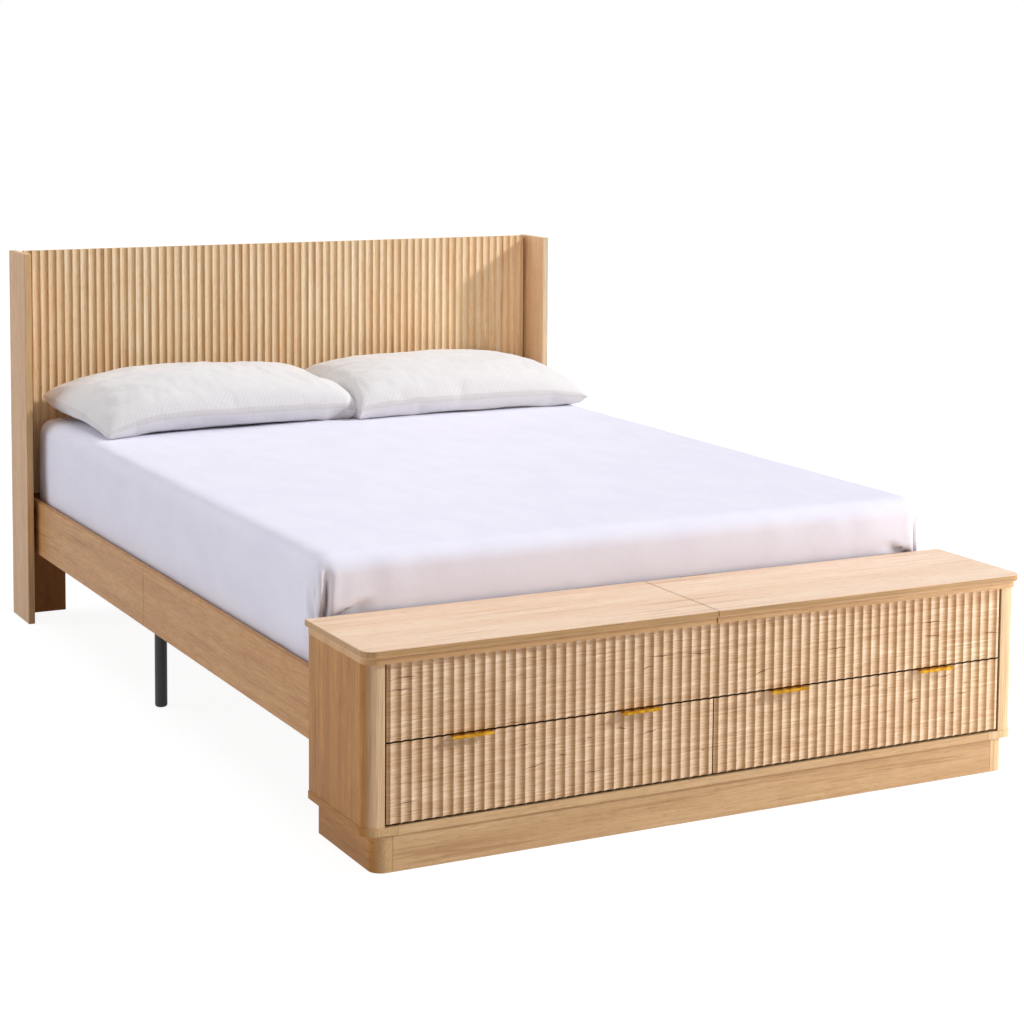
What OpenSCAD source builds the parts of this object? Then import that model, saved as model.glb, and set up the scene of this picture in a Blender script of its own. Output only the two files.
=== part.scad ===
// Bed for one mattress, with a winged, fluted headboard and a storage bench at its foot.
// +X is the right side seen from the foot, +Y points to the headboard, +Z is up.
// The origin is on the floor, under the middle of the whole object. All sizes are millimetres.

/* [Mattress and pillows] */
// Width of the mattress
mattress_w = 1524; // [1200:1:1930]
// Length of the mattress
mattress_l = 2032; // [1850:1:2200]
// Thickness of the mattress
mattress_t = 250; // [150:1:320]
// Corner radius of the mattress in plan
mattress_corner_r = 48; // [40:1:120]
// Roll of the mattress's top edge
mattress_roll = 52; // [20:1:60]
// Play between the mattress and each side rail
mattress_play = 6; // [2:0.5:15]
// Play between the mattress's foot and the back edge of the lids
foot_play = 9; // [8:0.5:20]
// Play between the mattress and the headboard
head_play = 6; // [2:0.5:20]
// Clearance between the right pillow's far end and the wing beside it
pillow_wing_gap = 31.5; // [15:0.5:120]
// Depth of each pillow
pillow_d = 470; // [350:1:520]
// Greatest thickness of each pillow
pillow_t = 168; // [90:1:200]
// Distance from the bed's middle to the near end of the left pillow
pillow_left_in = 2; // [0:1:40]
// Distance from the bed's middle to the near end of the right pillow
pillow_right_in = 22; // [12:1:60]
// Distance from the headboard's face to the middle line of the pillows' back edges
pillow_back = 30; // [24:1:60]
// Turn of the left pillow, seen from above
pillow_left_turn = 4; // [-4:0.5:4]
// Turn of the right pillow, seen from above
pillow_right_turn = 1; // [-2:0.5:2]

/* [Side rails and slats] */
// Height of the side rails
rail_h = 147; // [110:1:220]
// Thickness of the side rails
rail_t = 15; // [12:0.5:25]
// Height of the rails' lower edge above the floor
rail_z = 193; // [150:1:260]
// Open line between the two halves of a rail
rail_seam = 1; // [0.5:0.1:3]
// Distance from a rail's head end to the headboard's face
rail_head_gap = 26; // [10:1:40]
// Depth of the mattress below the rails' top edge
mattress_sink = 28; // [10:1:60]
// Number of slats
slat_n = 14; // [10:1:20]
// Width of a slat
slat_w = 70; // [50:1:90]
// Thickness of a slat
slat_t = 18; // [12:1:25]
// Width and height of the ledges that carry the slats
ledge_s = 30; // [20:1:40]
// Width of the centre beam
beam_w = 60; // [40:1:90]
// Height of the centre beam
beam_h = 60; // [40:1:90]
// Diameter of the steel legs
leg_d = 30; // [22:0.5:40]
// Height of the plastic glides under the steel legs
glide_h = 20; // [12:1:30]
// Number of legs under the centre beam
beam_leg_n = 3; // [1:1:4]

/* [Headboard] */
// Height of the headboard
head_h = 1028; // [850:1:1300]
// Thickness of a wing
wing_t = 18; // [15:0.5:30]
// Depth of a wing from front to back
wing_d = 157; // [110:1:220]
// Distance from a rail's outer face to a wing's outer face
wing_stand = 30.5; // [25:0.5:60]
// Thickness of the fluted board
head_board_t = 18; // [15:0.5:25]
// Clearance between the rails' top edge and the fluted board's lower edge
head_board_lift = 5; // [2:1:40]
// Width of the posts behind the fluted board
post_w = 125; // [90:1:180]
// Thickness of the posts
post_t = 18; // [15:0.5:25]
// Distance from the posts' back to the wings' back edges
post_set = 12; // [2:1:20]
// Height of the cross rails between the posts
cross_h = 100; // [60:1:140]
// Width of one scallop of the headboard
head_flute_w = 23.07; // [15:0.01:40]
// Shadow gap between the fluted board and each wing
head_side_gap = 11; // [2:0.5:20]

/* [Storage bench] */
// Height of the bench to the top of its lids
bench_h = 440; // [380:1:520]
// Depth of the lids from front to back
lid_d = 299; // [260:1:400]
// Thickness of the lid boards
lid_t = 14; // [13:0.5:25]
// Height of the edging under the lids
edging_h = 14.5; // [12:0.5:30]
// Width of the edging strips
edging_w = 30; // [20:1:50]
// Step from the lids' front edge to the edging
edging_front_set = 6; // [3:0.5:10]
// Step from the lids' side edges to the edging
edging_side_set = 4; // [2:0.5:8]
// Open line between the two lids
lid_gap = 2; // [1:0.1:5]
// Overhang of the lids past the bench's sides
lid_over = 5; // [2:0.5:15]
// Distance from the lids' front edge to the face of the bench
front_set = 13; // [11:0.5:20]
// Distance from the lids' back edge to the back of the bench
back_set = 9; // [6:0.5:15]
// Thickness of the bench's boards
board_t = 18; // [15:0.5:22]
// Distance from a side rail's outer face to a bench side's outer face
side_proud = 2; // [0:0.5:10]
// Outer radius of the bench's upright front corners
corner_r = 28; // [20:1:40]
// Width of the upright stile at each front corner
stile_w = 42; // [40:1:80]
// Height of the fixed fluted front above the drawers
upper_front_h = 154.5; // [100:0.5:200]
// Height of the plinth
plinth_h = 74.5; // [50:0.5:110]
// Distance from the bench's side to the plinth's side
plinth_side_set = 20; // [10:1:40]
// Distance from the lids' front edge to the plinth's face
plinth_front_set = 16; // [10:1:40]
// Distance from the bench's back to the plinth's back
plinth_back_set = 3; // [0:0.5:20]
// Length of the plinth's return along the front
plinth_return = 40; // [35:0.5:60]
// Thickness of the base moulding
base_t = 16; // [12:0.5:25]
// Width of the base moulding's strips
base_w = 36; // [25:1:60]
// Distance that the base moulding stands out past the bench
base_over = 2; // [1:0.5:10]
// Length of the base moulding's return along the front
base_return = 71; // [50:1:120]
// Open line at the joints of the base moulding and of the plinth
base_seam = 0.8; // [0.2:0.1:1.5]
// Width of one scallop of the bench's fronts
flute_w = 22.5; // [15:0.01:40]
// Depth of a scallop
flute_depth = 3.2; // [2:0.1:8]
// Flat top of the ridge between two scallops
flute_land = 1.2; // [0.6:0.1:3]

/* [Drawers] */
// Open line above the drawer fronts
front_gap = 3.5; // [2:0.1:5]
// Open line under the drawer fronts
bottom_gap = 5; // [2:0.5:8]
// Open line between the two drawer fronts
middle_gap = 2.5; // [2:0.1:5]
// Open line between a front and the stile beside it
end_gap = 4; // [2:0.1:6]
// Thickness of the drawers' box boards
box_t = 12; // [9:0.5:16]
// Height of a drawer's box
box_h = 110; // [80:1:120]
// Space between a drawer's box and the back of the bench
box_back_gap = 21; // [6:0.5:60]
// Thickness of a drawer's bottom
bottom_t = 6; // [4:0.5:9]
// Height of a drawer's bottom above its box's lower edge
bottom_lift = 4; // [2:0.5:10]
// Height of a drawer's box above the lower edge of its front
box_lift = 10; // [6:0.5:20]
// Height of the slides above the box's lower edge
slide_lift = 20; // [10:0.5:40]
// Travel of a drawer
drawer_travel = 165; // [100:1:180]
// Space beside a drawer's box for a slide
slide_w = 12.5; // [12:0.1:15]
// Height of a slide's channel
slide_h = 27; // [20:0.5:40]
// Thickness of a slide's steel
slide_t = 1.2; // [0.8:0.1:2]
// Running clearance of moving pieces
run_gap = 0.3; // [0.2:0.05:0.8]
// Width of a handle
handle_w = 90; // [60:1:160]
// Reach of a handle in front of the drawer's face
handle_reach = 13; // [9:0.5:18]
// Height of a handle's front lip
handle_lip = 6; // [4:0.5:10]
// Thickness of a handle's brass
handle_t = 1.5; // [1:0.1:2]
// Distance of a handle's middle from the drawer's middle
handle_off = 190; // [80:1:280]

/* [Lid hinges and brackets] */
// Width of a lid hinge
hinge_w = 70; // [50:1:100]
// Distance from the ends of a lid to the middle of its hinges
hinge_inset = 130; // [70:1:300]
// Thickness of a hinge's leaves
leaf_t = 1.5; // [1:0.1:2]
// Radius of a hinge's knuckles
knuckle_r = 2.7; // [2:0.1:3]
// Radius of a hinge's pin
pin_r = 1.0; // [0.8:0.05:1.3]
// Radial clearance of a hinge's pin
pin_play = 0.05; // [0.02:0.01:0.1]
// Thickness of the steel brackets
bracket_t = 3; // [2:0.5:5]
// Height of the steel brackets
bracket_h = 60; // [40:1:60]
// Length of a bracket's leg
bracket_l = 90; // [60:1:120]

/* [Hidden] */

oak = "#d8b48a";
oak_inner = "#d2bb98";
pine = "#dcc59a";
black_steel = "#1c1c1e";
zinc = "#b4b6b8";
brass = "#b98d2f";
linen = "#efedf4";
cotton = "#f3efe7";
edge_ease = 1.2;          // chamfer on the edges of loose boards
arc_n = 64;               // sides of round outlines
seat_gap = 0.3;           // clearance under soft pieces and lids

// Places across the bed
rail_in = mattress_w / 2 + mattress_play;
rail_out = rail_in + rail_t;
side_out = rail_out + side_proud;
side_in = side_out - board_t;
lid_half = side_out + lid_over;
base_half = side_out + base_over;
wing_out = rail_out + wing_stand;
wing_in = wing_out - wing_t;
pillow_w = wing_in - pillow_right_in - pillow_wing_gap;
plinth_out = side_out - plinth_side_set;

// Places along the bed, from the lids' front edge at the foot to the wings' back edges
head_depth = head_board_t + post_t + post_set;
total_l = lid_d + foot_play + mattress_l + head_play + head_depth;
foot_y = -total_l / 2;
bench_front = foot_y + front_set;
base_front_y = bench_front - base_over;
bench_inner_front = bench_front + board_t;
bench_back_y = foot_y + lid_d - back_set;
bench_inner_back = bench_back_y - board_t;
lid_back_y = foot_y + lid_d;
plinth_face_y = foot_y + plinth_front_set;
plinth_back_y = bench_back_y - plinth_back_set;
mattress_y = lid_back_y + foot_play + mattress_l / 2;
head_face_y = lid_back_y + foot_play + mattress_l + head_play;
post_y = head_face_y + head_board_t;
rail_end_y = head_face_y - rail_head_gap;
seam_y = bench_back_y + (rail_end_y - bench_back_y) * 0.514;

// Heights
rail_top = rail_z + rail_h;
mattress_z = rail_top - mattress_sink;
mattress_top = mattress_z + mattress_t;
slat_z = mattress_z - slat_t;
ledge_z = slat_z - ledge_s;
beam_z = slat_z - beam_h;
bracket_z = ledge_z - 2 - bracket_h;
lid_z = bench_h - lid_t;
bench_top = lid_z - edging_h;
base_z = plinth_h;
carcass_z = plinth_h + base_t;
upper_front_z = bench_top - upper_front_h;
post_top = head_h - 6;
drawer_front_z = carcass_z + bottom_gap;
drawer_front_top = upper_front_z - front_gap;
box_z = drawer_front_z + box_lift;

// Drawer and its slides
front_half = side_out - stile_w - end_gap;
drawer_out = side_out - stile_w;                   // face of the runner battens
drawer_in = board_t / 2;                           // face of the divider
box_x0 = drawer_in + slide_w;
box_x1 = drawer_out - slide_w;
box_y0 = bench_inner_front;
box_l = bench_inner_back - box_y0 - box_back_gap;  // length of a box and of its slides
slide_z = box_z + slide_lift;
slide_y0 = bench_inner_front + 2;
channel_w = slide_w - 2.5;                         // reach of a channel's flanges
runner_flange = slide_w - slide_t - 2;             // reach of a runner's flanges
batten_y0 = bench_inner_front + 4;
batten_margin = 8;                                 // batten above and below a slide
handle_tab = 20;                                   // depth of a handle's tab behind the front
runner_h = slide_h - 2 * slide_t - 2 * run_gap;

// Lid hinge axis, at the top of the lids' back edge
axis_y = lid_back_y + knuckle_r + run_gap;
axis_z = bench_h - knuckle_r - run_gap;
hinge_x = [lid_half - hinge_inset, hinge_inset];
crank_z = bench_top - 6;                           // where the fixed leaf steps back
fixed_leaf_h = 55;

// Steel legs
leg_x = rail_in - bracket_t - leg_d / 2;
leg_y = seam_y - 31;
beam_leg_y = [for (i = [1:beam_leg_n]) bench_back_y + (post_y - bench_back_y) * i / (beam_leg_n + 1)];
plate_l = 200;

// Shared shapes

// A board from corner a to corner b with eased edges
module eased_board(a, b, e = edge_ease) {
  s = b - a;
  translate(a) hull() {
    translate([e, e, 0]) cube([s.x - 2 * e, s.y - 2 * e, s.z]);
    translate([e, 0, e]) cube([s.x - 2 * e, s.y, s.z - 2 * e]);
    translate([0, e, e]) cube([s.x, s.y - 2 * e, s.z - 2 * e]);
  }
}

// A plain board from corner a to corner b
module board(a, b) {
  translate(a) cube(b - a);
}

// Mirrors its children to the side that s names, -1 for left and 1 for right
module on_side(s) {
  if (s < 0) mirror([1, 0, 0]) children();
  else children();
}

// A board with a row of upright scallops in its front face. One scallop is centred on X = shift.
module fluted_board(x0, x1, y, t, z0, z1, pitch, shift = 0) {
  chord = pitch - flute_land;
  r = (chord * chord / 4 + flute_depth * flute_depth) / (2 * flute_depth);
  translate([0, 0, z0]) linear_extrude(z1 - z0) difference() {
    translate([x0, y]) square([x1 - x0, t]);
    for (k = [floor((x0 - shift) / pitch):ceil((x1 - shift) / pitch)])
      let (x = k * pitch + shift)
        if (x + chord / 2 > x0 && x - chord / 2 < x1)
          translate([x, y - r + flute_depth]) circle(r, $fn = arc_n);
  }
}

// Plan of a right-hand piece that wraps a rounded front corner: a side strip and a short return
module corner_plan(x_out, x_return, y_front, y_back, w, r) {
  difference() {
    union() {
      translate([x_return, y_front + r]) square([x_out - x_return, y_back - y_front - r]);
      translate([x_return, y_front]) square([x_out - r - x_return, r]);
      translate([x_out - r, y_front + r]) intersection() {
        circle(r, $fn = arc_n);
        translate([0, -r]) square(r);
      }
    }
    translate([x_return - 1, y_front + w]) square([x_out - w - x_return + 1, y_back - y_front - w + 1]);
  }
}

// A pad lofted through rounded rectangles, each given as [z, inset]
function rounded_ring(a, b, r, z) = [
  for (q = [0:3]) for (i = [0:8])
    let (ang = q * 90 + i * 90 / 8,
         cx = (q == 0 || q == 3) ? a - r : r - a,
         cy = (q < 2) ? b - r : r - b)
      [cx + r * cos(ang), cy + r * sin(ang), z]
];
module lofted_pad(half_x, half_y, r, levels) {
  n = 36;
  m = len(levels);
  pts = concat(
    [for (l = levels) each rounded_ring(half_x - l[1], half_y - l[1], max(r - l[1] * 0.5, 8), l[0])],
    [[0, 0, levels[0][0]], [0, 0, levels[m - 1][0]]]);
  faces = concat(
    [for (k = [0:m - 2]) for (i = [0:n - 1]) each
      let (a = k * n + i, b = k * n + (i + 1) % n) [[a, a + n, b + n], [a, b + n, b]]],
    [for (i = [0:n - 1]) [m * n, i, (i + 1) % n]],
    [for (i = [0:n - 1]) [m * n + 1, (m - 1) * n + (i + 1) % n, (m - 1) * n + i]]);
  polyhedron(points = pts, faces = faces, convexity = 4);
}

// Headboard

// The board stands on a ridge in its middle and keeps a shadow gap to the wings
module headboard_fluted_board() {
  half = wing_in - head_side_gap;
  color(oak)
    fluted_board(-half, half, head_face_y, head_board_t,
                 rail_top + head_board_lift, head_h, head_flute_w, head_flute_w / 2);
}
module wing(s) {
  back = head_face_y + head_depth;
  color(oak) on_side(s) eased_board([wing_in, back - wing_d, 0], [wing_out, back, head_h]);
}
module headboard_post(s) {
  color(oak) on_side(s) board([wing_in - post_w, post_y, 0], [wing_in, post_y + post_t, post_top]);
}
module cross_rail(z) {
  half = wing_in - post_w;
  color(oak) board([-half, post_y, z], [half, post_y + post_t, z + cross_h]);
}
module headboard_top_rail() { cross_rail(post_top - cross_h); }
module headboard_lower_rail() { cross_rail(slat_z - cross_h + 20); }

// Side rails, slats, beam and legs

module rail(s, y0, y1) {
  color(oak) on_side(s) eased_board([rail_in, y0, rail_z], [rail_out, y1, rail_top]);
}
module rail_head(s) { rail(s, seam_y + rail_seam / 2, rail_end_y); }
module rail_foot(s) { rail(s, bench_back_y, seam_y - rail_seam / 2); }
module rail_joint_plates() {
  color(black_steel) for (s = [-1, 1]) on_side(s)
    board([rail_in - bracket_t, seam_y - plate_l / 2, bracket_z],
          [rail_in, seam_y + plate_l / 2, ledge_z - 2]);
}
module slat_ledges() {
  color(pine) for (s = [-1, 1]) on_side(s) {
    board([rail_in - ledge_s, bench_back_y, ledge_z], [rail_in, seam_y - rail_seam / 2, slat_z]);
    board([rail_in - ledge_s, seam_y + rail_seam / 2, ledge_z], [rail_in, rail_end_y, slat_z]);
  }
}
module center_beam(y0, y1) {
  color(pine) board([-beam_w / 2, y0, beam_z], [beam_w / 2, y1, slat_z]);
}
module center_beam_head() { center_beam(seam_y + rail_seam / 2, post_y); }
module center_beam_foot() { center_beam(bench_back_y, seam_y - rail_seam / 2); }
module slats() {
  y0 = bench_back_y + slat_w / 2 + 20;
  y1 = rail_end_y - slat_w / 2 - 10;
  half = rail_in - 2;
  color(pine) for (i = [0:slat_n - 1])
    translate([0, y0 + (y1 - y0) * i / (slat_n - 1), 0])
      board([-half, -slat_w / 2, slat_z], [half, slat_w / 2, mattress_z]);
}
// A round steel leg with a square plate welded on its top
module steel_leg(top) {
  translate([0, 0, glide_h]) cylinder(h = top - glide_h, d = leg_d, $fn = arc_n);
  translate([-leg_d / 2, -leg_d, top - bracket_t]) cube([leg_d, 2 * leg_d, bracket_t]);
}
module rail_legs() {
  color(black_steel) for (s = [-1, 1]) translate([s * leg_x, leg_y, 0]) steel_leg(ledge_z);
}
module center_legs() {
  color(black_steel) for (y = beam_leg_y) translate([0, y, 0]) steel_leg(beam_z);
}
module leg_glide() {
  r = leg_d / 2;
  round_r = 6;
  rotate_extrude($fn = arc_n) union() {
    square([r - round_r, glide_h]);
    translate([0, round_r]) square([r, glide_h - round_r]);
    translate([r - round_r, round_r]) intersection() {
      circle(round_r, $fn = 32);
      translate([0, -round_r]) square(round_r);
    }
  }
}
module leg_glides() {
  color(black_steel) {
    for (s = [-1, 1]) translate([s * leg_x, leg_y, 0]) leg_glide();
    for (y = beam_leg_y) translate([0, y, 0]) leg_glide();
  }
}
// Steel angle in the inner corner of a rail and the board at its end. d points from that board
// along the rail
module rail_angle(y, d) {
  board([rail_in - bracket_t, min(y, y + d * bracket_l), bracket_z],
        [rail_in, max(y, y + d * bracket_l), bracket_z + bracket_h]);
  board([rail_in - bracket_l, min(y, y + d * bracket_t), bracket_z],
        [rail_in - bracket_t, max(y, y + d * bracket_t), bracket_z + bracket_h]);
}
// Steel angle under an end of the centre beam
module beam_angle(y, d) {
  board([-beam_w / 2, min(y, y + d * bracket_l), beam_z - bracket_t],
        [beam_w / 2, max(y, y + d * bracket_l), beam_z]);
  board([-beam_w / 2, min(y, y + d * bracket_t), beam_z - bracket_t - 30],
        [beam_w / 2, max(y, y + d * bracket_t), beam_z - bracket_t]);
}
module bed_brackets() {
  color(black_steel) {
    for (s = [-1, 1]) on_side(s) {
      rail_angle(bench_back_y, 1);
      rail_angle(post_y, -1);
    }
    beam_angle(bench_back_y, 1);
    beam_angle(post_y, -1);
  }
}
module bolt_head() { cylinder(h = 4, d = 12, $fn = 32); }
module bracket_bolts() {
  color(zinc) for (s = [-1, 1]) on_side(s) for (z = [0.25, 0.75]) {
    bolt_z = bracket_z + bracket_h * z;
    for (x = [0.35, 0.75]) {
      bolt_x = rail_in - bracket_l * x;
      translate([bolt_x, bench_back_y + bracket_t, bolt_z]) rotate([-90, 0, 0]) bolt_head();
      translate([bolt_x, post_y - bracket_t, bolt_z]) rotate([90, 0, 0]) bolt_head();
    }
    for (y = [bench_back_y + bracket_l * 0.7, post_y - bracket_l * 0.7,
              seam_y + plate_l * 0.3, seam_y - plate_l * 0.4])
      translate([rail_in - bracket_t, y, bolt_z]) rotate([0, -90, 0]) bolt_head();
  }
}

// Bench carcass

module bench_side(s) {
  color(oak) on_side(s) translate([0, 0, carcass_z]) linear_extrude(bench_top - carcass_z)
    corner_plan(side_out, side_out - stile_w, bench_front, bench_back_y, board_t, corner_r);
}
module bench_back() {
  color(oak) board([-side_in, bench_inner_back, carcass_z], [side_in, bench_back_y, bench_top]);
}
module bench_bottom() {
  half = base_half - base_w;
  color(oak_inner) board([-half, base_front_y + base_w, base_z], [half, bench_back_y, carcass_z]);
}
module bin_floor() {
  color(oak_inner)
    board([-side_in, bench_inner_front, upper_front_z],
          [side_in, bench_inner_back, upper_front_z + board_t]);
}
module drawer_divider() {
  color(oak_inner)
    board([-board_t / 2, bench_inner_front + 0.5, carcass_z],
          [board_t / 2, bench_inner_back, upper_front_z]);
}
module bin_divider() {
  color(oak_inner) board([-board_t / 2, bench_inner_front, upper_front_z + board_t],
                         [board_t / 2, bench_inner_back, bench_top]);
}
module upper_fluted_front() {
  color(oak)
    fluted_board(-front_half, front_half, bench_front, board_t, upper_front_z, bench_top, flute_w);
}
module base_moulding(s) {
  color(oak) on_side(s) translate([0, 0, base_z]) linear_extrude(base_t)
    corner_plan(base_half, base_half - base_return, base_front_y, bench_back_y, base_w,
                corner_r + base_over);
}
module base_moulding_front() {
  half = base_half - base_return - base_seam;
  color(oak) board([-half, base_front_y, base_z], [half, base_front_y + base_w, carcass_z]);
}
module plinth(s) {
  color(oak) on_side(s) linear_extrude(plinth_h)
    corner_plan(plinth_out, plinth_out - plinth_return, plinth_face_y, plinth_back_y, board_t, corner_r);
}
module plinth_front() {
  half = plinth_out - plinth_return - base_seam;
  color(oak) board([-half, plinth_face_y, 0], [half, plinth_face_y + board_t, plinth_h]);
}
module plinth_back() {
  half = plinth_out - board_t;
  color(oak_inner) board([-half, plinth_back_y - board_t, 0], [half, plinth_back_y, plinth_h]);
}
module runner_battens() {
  color(pine) for (s = [-1, 1]) on_side(s)
    board([drawer_out, batten_y0, slide_z - batten_margin],
          [side_in, bench_inner_back, slide_z + slide_h + batten_margin]);
}
// A steel channel, open towards the drawer, on a wall at x; d is the side that it opens to
module channel(x, d, z, h, flange) {
  y1 = slide_y0 + box_l - 2;
  board([min(x, x + d * slide_t), slide_y0, z], [max(x, x + d * slide_t), y1, z + h]);
  for (fz = [z, z + h - slide_t])
    board([min(x, x + d * flange), slide_y0, fz], [max(x, x + d * flange), y1, fz + slide_t]);
}
module drawer_channels() {
  color(zinc) for (s = [-1, 1]) on_side(s) {
    channel(drawer_out, -1, slide_z, slide_h, channel_w);
    channel(drawer_in, 1, slide_z, slide_h, channel_w);
  }
}

// Lids

module lid_board(s) {
  r = corner_r;
  e = edge_ease;
  x0 = lid_gap / 2;
  color(oak) on_side(s) hull() {
    for (v = [[0, e, lid_t - 2 * e], [e, 0, lid_t]]) {
      translate([x0 + v[0], foot_y + v[0], lid_z + v[1]])
        cube([lid_half - x0 - r - v[0], lid_d - 2 * v[0], v[2]]);
      translate([lid_half - r, foot_y + r, lid_z + v[1]]) {
        cylinder(h = v[2], r = r - v[0], $fn = 48);
        cube([r - v[0], lid_d - r - v[0], v[2]]);
      }
    }
  }
}
module lid_edging(s) {
  x0 = lid_gap / 2 + 1;
  x1 = lid_half - edging_side_set;
  y0 = foot_y + edging_front_set;
  y1 = bench_back_y;
  w = edging_w;
  color(oak) on_side(s) translate([0, 0, bench_top + seat_gap])
    linear_extrude(edging_h - seat_gap) union() {
      corner_plan(x1, x0, y0, y1, w, corner_r);
      translate([x0, y0]) square([w, y1 - y0]);
      translate([x0, y1 - w]) square([x1 - x0, w]);
    }
}

// One hinge runs along X. Its two outer knuckles and its cranked leaf are fixed. Its middle knuckle
// turns with the lid.
knuckle_gap = 0.4;
knuckle_l = (hinge_w - 2 * knuckle_gap) / 3;
leaf_top = axis_z - knuckle_r - run_gap;
moving_leaf_z = lid_z + 2;
// A round bar along X, centred on the hinge axis
module axis_bar(x0, l, r) {
  translate([x0, axis_y, axis_z]) rotate([0, 90, 0]) cylinder(h = l, r = r, $fn = 48);
}
module fixed_leaf(x) {
  plate_y = lid_back_y + leaf_t + run_gap;
  bore = pin_r + 0.02;
  x0 = x - hinge_w / 2;
  difference() {
    union() {
      for (dx = [0, 2 * (knuckle_l + knuckle_gap)]) {
        axis_bar(x0 + dx, knuckle_l, knuckle_r);
        board([x0 + dx, plate_y, leaf_top - 1], [x0 + dx + knuckle_l, plate_y + leaf_t, axis_z]);
      }
      board([x0, plate_y, crank_z], [x0 + hinge_w, plate_y + leaf_t, leaf_top]);
      board([x0, bench_back_y, crank_z], [x0 + hinge_w, plate_y + leaf_t, crank_z + leaf_t]);
      board([x0, bench_back_y, crank_z - fixed_leaf_h],
            [x0 + hinge_w, bench_back_y + leaf_t, crank_z + leaf_t]);
    }
    axis_bar(x0 - 1, hinge_w + 2, bore);
  }
}
module moving_leaf(x) {
  bore = pin_r + pin_play;
  x0 = x - hinge_w / 2;
  xk = x0 + knuckle_l + knuckle_gap;
  difference() {
    union() {
      axis_bar(xk, knuckle_l, knuckle_r);
      board([xk, lid_back_y, leaf_top - 1], [xk + knuckle_l, lid_back_y + leaf_t, axis_z]);
      board([x0, lid_back_y, moving_leaf_z], [x0 + hinge_w, lid_back_y + leaf_t, leaf_top]);
    }
    axis_bar(x0 - 1, hinge_w + 2, bore);
  }
}
module lid_hinge_fixed_leaves() {
  color(black_steel) for (s = [-1, 1]) on_side(s) for (x = hinge_x) fixed_leaf(x);
}
module lid_hinge_pins() {
  color(zinc) for (s = [-1, 1]) on_side(s) for (x = hinge_x)
    axis_bar(x - hinge_w / 2, hinge_w, pin_r);
}
module lid_hinge_leaves(s) {
  color(black_steel) on_side(s) for (x = hinge_x) moving_leaf(x);
}

// Drawers

module drawer_front(s) {
  color(oak) intersection() {
    fluted_board(-front_half, front_half, bench_front, board_t, drawer_front_z, drawer_front_top, flute_w);
    on_side(s) board([middle_gap / 2, bench_front - 1, drawer_front_z],
                     [front_half, bench_inner_front, drawer_front_top]);
  }
}
module drawer_box(s) {
  y1 = box_y0 + box_l;
  color(oak_inner) on_side(s) {
    board([box_x0, box_y0, box_z], [box_x0 + box_t, y1, box_z + box_h]);
    board([box_x1 - box_t, box_y0, box_z], [box_x1, y1, box_z + box_h]);
    board([box_x0 + box_t, y1 - box_t, box_z], [box_x1 - box_t, y1, box_z + box_h]);
  }
}
module drawer_bottom(s) {
  color(oak_inner) on_side(s)
    board([box_x0 + box_t, box_y0, box_z + bottom_lift],
          [box_x1 - box_t, box_y0 + box_l - box_t, box_z + bottom_lift + bottom_t]);
}
module drawer_runners(s) {
  z = slide_z + slide_t + run_gap;
  color(zinc) on_side(s) {
    channel(box_x1, 1, z, runner_h, runner_flange);
    channel(box_x0, -1, z, runner_h, runner_flange);
  }
}
// Brass edge pull: a plate over the drawer front's top edge, a lip in front and a tab behind
module handle(x) {
  y0 = bench_front - handle_reach;
  y1 = bench_inner_front + handle_t;
  z = drawer_front_top;
  board([x - handle_w / 2, y0, z], [x + handle_w / 2, y1, z + handle_t]);
  board([x - handle_w / 2, y0, z + handle_t - handle_lip], [x + handle_w / 2, y0 + handle_t, z + handle_t]);
  board([x - handle_w / 2, bench_inner_front, z - handle_tab], [x + handle_w / 2, y1, z + handle_t]);
}
module drawer_handles(s) {
  middle = (middle_gap / 2 + front_half) / 2;
  color(brass) on_side(s) for (d = [-1, 1]) handle(middle + d * handle_off);
}

// Mattress and pillows

module mattress() {
  t = mattress_t;
  q = mattress_roll;
  // Lower roll, seam, drawn-in side, seam and the long roll into the crowned top
  levels = [
    [0, 14], [3, 5], [12, 1], [22, 0], [26, 2], [30, 0], [t * 0.35, 4], [t * 0.5, 5], [t * 0.65, 4],
    [t - q - 8, 0], [t - q - 4, 2], [t - q, 0],
    for (a = [15:15:75]) [t - q + q * sin(a), q * (1 - cos(a))],
    [t - 0.5, q], [t, q * 1.8]
  ];
  color(linen) translate([0, mattress_y, mattress_z])
    lofted_pad(mattress_w / 2, mattress_l / 2, mattress_corner_r, levels);
}

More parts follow.
